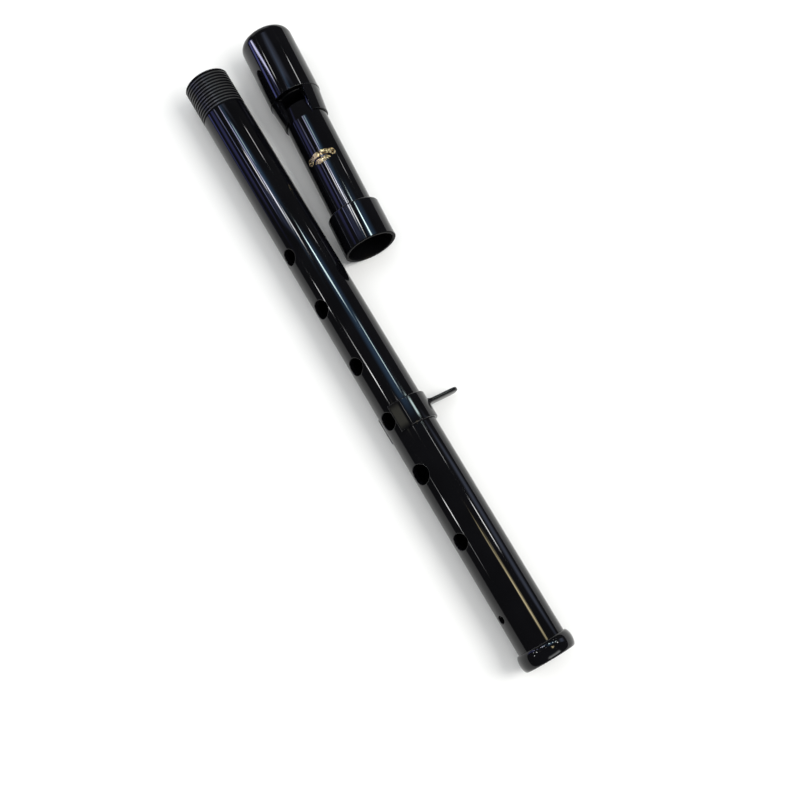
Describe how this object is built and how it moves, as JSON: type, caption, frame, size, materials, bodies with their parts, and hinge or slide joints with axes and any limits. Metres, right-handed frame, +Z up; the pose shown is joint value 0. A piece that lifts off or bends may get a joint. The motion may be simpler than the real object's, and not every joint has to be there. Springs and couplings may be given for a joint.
{
  "type": "tin whistle",
  "caption": "Black plastic low whistle in two halves: body tube with finger holes and thumb rest, and head with window and socket, lying side by side.",
  "frame": {"origin": "on the surface that both halves lie on, under the middle of the whole arrangement", "axes": "+X along the body tube from its tenon end to its foot, +Y sideways from the body towards the head, +Z up"},
  "size_m": [0.3838, 0.0732, 0.0308],
  "materials": {
    "black_plastic": "polished black plastic with a mirror-like gloss",
    "gold_foil": "gold foil, slightly worn"
  },
  "bodies": {
    "body": {"body_tube": "black_plastic", "foot_ring": "black_plastic"},
    "thumb_clip": {"thumb_rest": "black_plastic"},
    "head": {"socket_collar": "black_plastic", "head_tube": "black_plastic", "window_collar": "black_plastic", "mouthpiece_sleeve": "black_plastic", "windway_plug": "black_plastic", "gold_ornament": "gold_foil"}
  },
  "joints": [
    {"name": "thumb_rest_slide", "type": "slide", "parent": "body", "child": "thumb_clip", "axis": [1, 0, 0], "range_m": [-0.085, 0.125]},
    {"name": "head_lift", "type": "slide", "parent": "body", "child": "head", "axis": [0, 0, 1], "range_m": [0, 0.1]}
  ]
}
